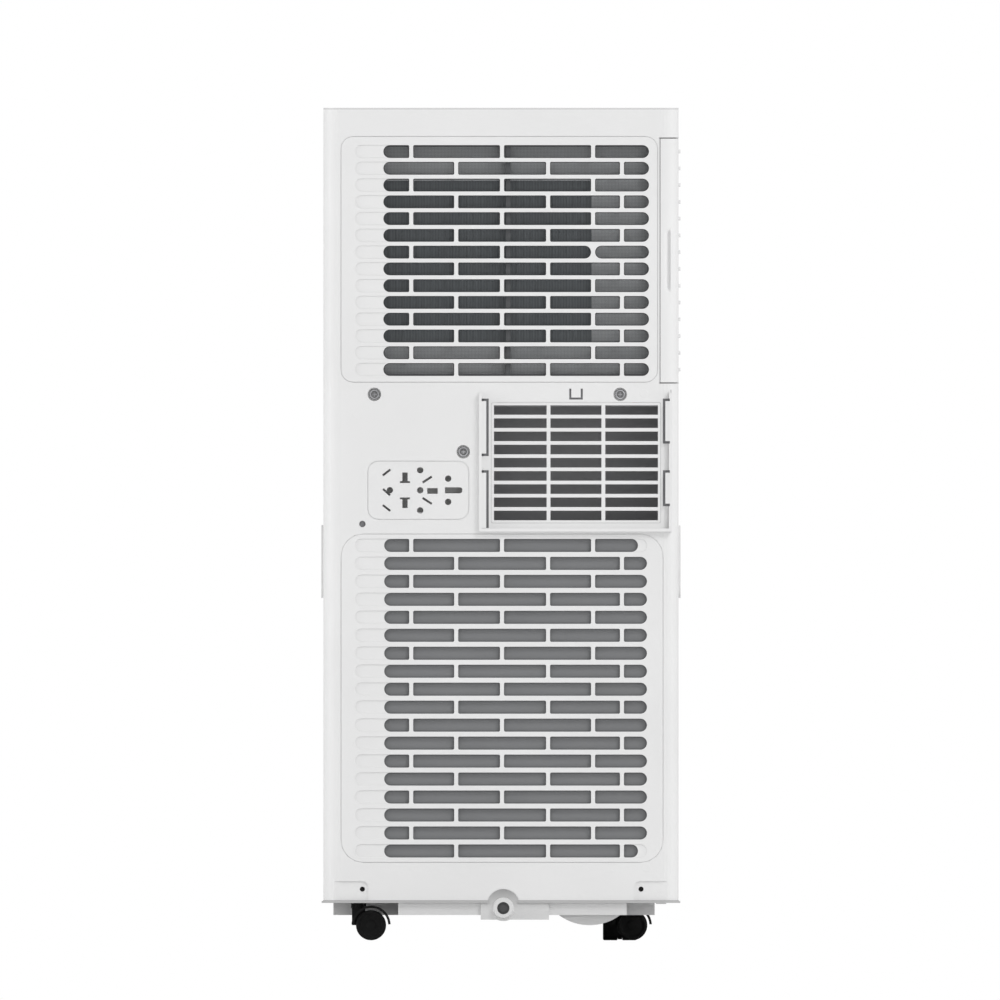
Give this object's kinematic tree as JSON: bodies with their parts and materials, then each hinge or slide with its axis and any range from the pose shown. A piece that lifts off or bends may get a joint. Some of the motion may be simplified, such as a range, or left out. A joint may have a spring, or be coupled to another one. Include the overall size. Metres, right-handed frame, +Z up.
{
  "type": "portable air conditioner",
  "caption": "Tower-type portable air conditioner on castors, with rear air grilles, a hose outlet seat, a slide-out filter and a front flap outlet.",
  "frame": {"origin": "on the floor, under the centre of the appliance's bounding box", "axes": "+Z up, the back with the grilles and hose seat faces -Y, the air outlet faces +Y, +X is on the right seen from behind"},
  "size_m": [0.3034, 0.315, 0.703],
  "materials": {
    "body_white": "fine satin moulded plastic",
    "trim_grey": "fine matt moulded plastic",
    "tray_grey": "plain matt moulded plastic",
    "inner_grey": "plain matt moulded plastic",
    "fascia_black": "gloss",
    "display_glass": "gloss tinted",
    "button_white": "satin",
    "board_green": "satin lacquer",
    "mesh_grey": "woven plastic mesh",
    "castor_black": "satin moulded plastic",
    "wheel_black": "satin",
    "steel": "zinc plated",
    "rubber_black": "matt",
    "fin_aluminium": "thin plate fins",
    "copper": "drawn copper tube",
    "fan_black": "moulded plastic",
    "motor_steel": "pressed steel",
    "compressor_black": "black paint"
  },
  "bodies": {
    "cabinet": {"rear_panel": "body_white", "front_panel": "body_white", "top_cover": "body_white", "upper_grille": "body_white", "lower_grille": "body_white", "exhaust_grille": "body_white", "plug_holder": "body_white", "rear_screws": "steel", "left_handle": "body_white", "right_handle": "body_white", "lower_screen": "mesh_grey", "control_fascia": "fascia_black", "display_window": "display_glass", "control_board": "board_green", "outlet_frame": "trim_grey", "flap_motor": "motor_steel", "base_tray": "tray_grey", "partition": "inner_grey", "evaporator": "fin_aluminium", "evaporator_bends": "copper", "cool_scroll": "inner_grey", "cool_motor": "motor_steel", "condenser": "fin_aluminium", "condenser_bends": "copper", "heat_scroll": "inner_grey", "heat_motor": "motor_steel", "compressor": "compressor_black", "compressor_feet": "rubber_black", "refrigerant_pipes": "copper", "electrical_box": "inner_grey"},
    "filter_drawer": {"filter_door": "body_white", "filter_frame": "trim_grey", "filter_mesh": "mesh_grey"},
    "outlet_flap": {"outlet_flap": "body_white"},
    "vane_link": {"vane_link": "trim_grey"},
    "drain_plug": {"drain_plug": "rubber_black"},
    "cool_fan": {"cool_wheel": "fan_black"},
    "heat_fan": {"heat_wheel": "fan_black"},
    "vane_1": {"vane_1": "trim_grey"},
    "vane_2": {"vane_2": "trim_grey"},
    "vane_3": {"vane_3": "trim_grey"},
    "vane_4": {"vane_4": "trim_grey"},
    "vane_5": {"vane_5": "trim_grey"},
    "button_power": {"button_power": "button_white"},
    "button_mode": {"button_mode": "button_white"},
    "button_speed": {"button_speed": "button_white"},
    "button_down": {"button_down": "button_white"},
    "button_up": {"button_up": "button_white"},
    "castor_rl": {"castor_rl_fork": "castor_black"},
    "castor_rl_wheel_pair": {"castor_rl_wheels": "wheel_black", "castor_rl_axle": "steel"},
    "castor_rr": {"castor_rr_fork": "castor_black"},
    "castor_rr_wheel_pair": {"castor_rr_wheels": "wheel_black", "castor_rr_axle": "steel"},
    "castor_fl": {"castor_fl_fork": "castor_black"},
    "castor_fl_wheel_pair": {"castor_fl_wheels": "wheel_black", "castor_fl_axle": "steel"},
    "castor_fr": {"castor_fr_fork": "castor_black"},
    "castor_fr_wheel_pair": {"castor_fr_wheels": "wheel_black", "castor_fr_axle": "steel"}
  },
  "joints": [
    {"name": "filter_slide", "type": "slide", "parent": "cabinet", "child": "filter_drawer", "axis": [1, 0, 0], "range_m": [0, 0.25]},
    {"name": "flap_hinge", "type": "hinge", "parent": "cabinet", "child": "outlet_flap", "pos_m": [0, 0.145, 0.611], "axis": [-1, 0, 0], "range_deg": [0, 75]},
    {"name": "vane_1_turn", "type": "hinge", "parent": "cabinet", "child": "vane_1", "pos_m": [-0.07927, 0.126, 0.643], "axis": [0, 0, 1], "range_deg": [-30, 30]},
    {"name": "vane_2_turn", "type": "hinge", "parent": "cabinet", "child": "vane_2", "pos_m": [-0.03964, 0.126, 0.643], "axis": [0, 0, 1], "range_deg": [-30, 30]},
    {"name": "vane_3_turn", "type": "hinge", "parent": "cabinet", "child": "vane_3", "pos_m": [0, 0.126, 0.643], "axis": [0, 0, 1], "range_deg": [-30, 30]},
    {"name": "vane_4_turn", "type": "hinge", "parent": "cabinet", "child": "vane_4", "pos_m": [0.03964, 0.126, 0.643], "axis": [0, 0, 1], "range_deg": [-30, 30]},
    {"name": "vane_5_turn", "type": "hinge", "parent": "cabinet", "child": "vane_5", "pos_m": [0.07927, 0.126, 0.643], "axis": [0, 0, 1], "range_deg": [-30, 30]},
    {"name": "vane_link_slide", "type": "slide", "parent": "cabinet", "child": "vane_link", "axis": [1, 0, 0], "range_m": [-0.0066, 0.0066]},
    {"name": "button_power_press", "type": "slide", "parent": "cabinet", "child": "button_power", "axis": [0, 0, -1], "range_m": [0, 0.001], "stiffness_N_per_m": 400},
    {"name": "button_mode_press", "type": "slide", "parent": "cabinet", "child": "button_mode", "axis": [0, 0, -1], "range_m": [0, 0.001], "stiffness_N_per_m": 400},
    {"name": "button_speed_press", "type": "slide", "parent": "cabinet", "child": "button_speed", "axis": [0, 0, -1], "range_m": [0, 0.001], "stiffness_N_per_m": 400},
    {"name": "button_down_press", "type": "slide", "parent": "cabinet", "child": "button_down", "axis": [0, 0, -1], "range_m": [0, 0.001], "stiffness_N_per_m": 400},
    {"name": "button_up_press", "type": "slide", "parent": "cabinet", "child": "button_up", "axis": [0, 0, -1], "range_m": [0, 0.001], "stiffness_N_per_m": 400},
    {"name": "castor_rl_swivel", "type": "hinge", "parent": "cabinet", "child": "castor_rl", "pos_m": [-0.1202, -0.118, 0.0313], "axis": [0, 0, 1], "continuous": true},
    {"name": "castor_rl_roll", "type": "hinge", "parent": "castor_rl", "child": "castor_rl_wheel_pair", "pos_m": [-0.1097, -0.118, 0.01275], "axis": [0, 1, 0], "continuous": true},
    {"name": "castor_rr_swivel", "type": "hinge", "parent": "cabinet", "child": "castor_rr", "pos_m": [0.1004, -0.06, 0.0313], "axis": [0, 0, 1], "continuous": true},
    {"name": "castor_rr_roll", "type": "hinge", "parent": "castor_rr", "child": "castor_rr_wheel_pair", "pos_m": [0.1109, -0.06, 0.01275], "axis": [0, 1, 0], "continuous": true},
    {"name": "castor_fl_swivel", "type": "hinge", "parent": "cabinet", "child": "castor_fl", "pos_m": [-0.1202, 0.105, 0.0313], "axis": [0, 0, 1], "continuous": true},
    {"name": "castor_fl_roll", "type": "hinge", "parent": "castor_fl", "child": "castor_fl_wheel_pair", "pos_m": [-0.1097, 0.105, 0.01275], "axis": [0, 1, 0], "continuous": true},
    {"name": "castor_fr_swivel", "type": "hinge", "parent": "cabinet", "child": "castor_fr", "pos_m": [0.1004, 0.105, 0.0313], "axis": [0, 0, 1], "continuous": true},
    {"name": "castor_fr_roll", "type": "hinge", "parent": "castor_fr", "child": "castor_fr_wheel_pair", "pos_m": [0.1004, 0.0945, 0.01275], "axis": [1, 0, 0], "continuous": true},
    {"name": "cool_fan_spin", "type": "hinge", "parent": "cabinet", "child": "cool_fan", "pos_m": [-0.015, -0.06, 0.56302], "axis": [0, 1, 0], "continuous": true},
    {"name": "heat_fan_spin", "type": "hinge", "parent": "cabinet", "child": "heat_fan", "pos_m": [-0.01, -0.06, 0.1951], "axis": [0, 1, 0], "continuous": true},
    {"name": "drain_plug_pull", "type": "slide", "parent": "cabinet", "child": "drain_plug", "axis": [0, -1, 0], "range_m": [0, 0.025]}
  ],
  "couplings": [
    {"joint": "vane_1_turn", "follows": "vane_3_turn", "ratio": 1},
    {"joint": "vane_2_turn", "follows": "vane_3_turn", "ratio": 1},
    {"joint": "vane_4_turn", "follows": "vane_3_turn", "ratio": 1},
    {"joint": "vane_5_turn", "follows": "vane_3_turn", "ratio": 1},
    {"joint": "vane_link_slide", "follows": "vane_3_turn", "m_per_rad": 0.012}
  ]
}
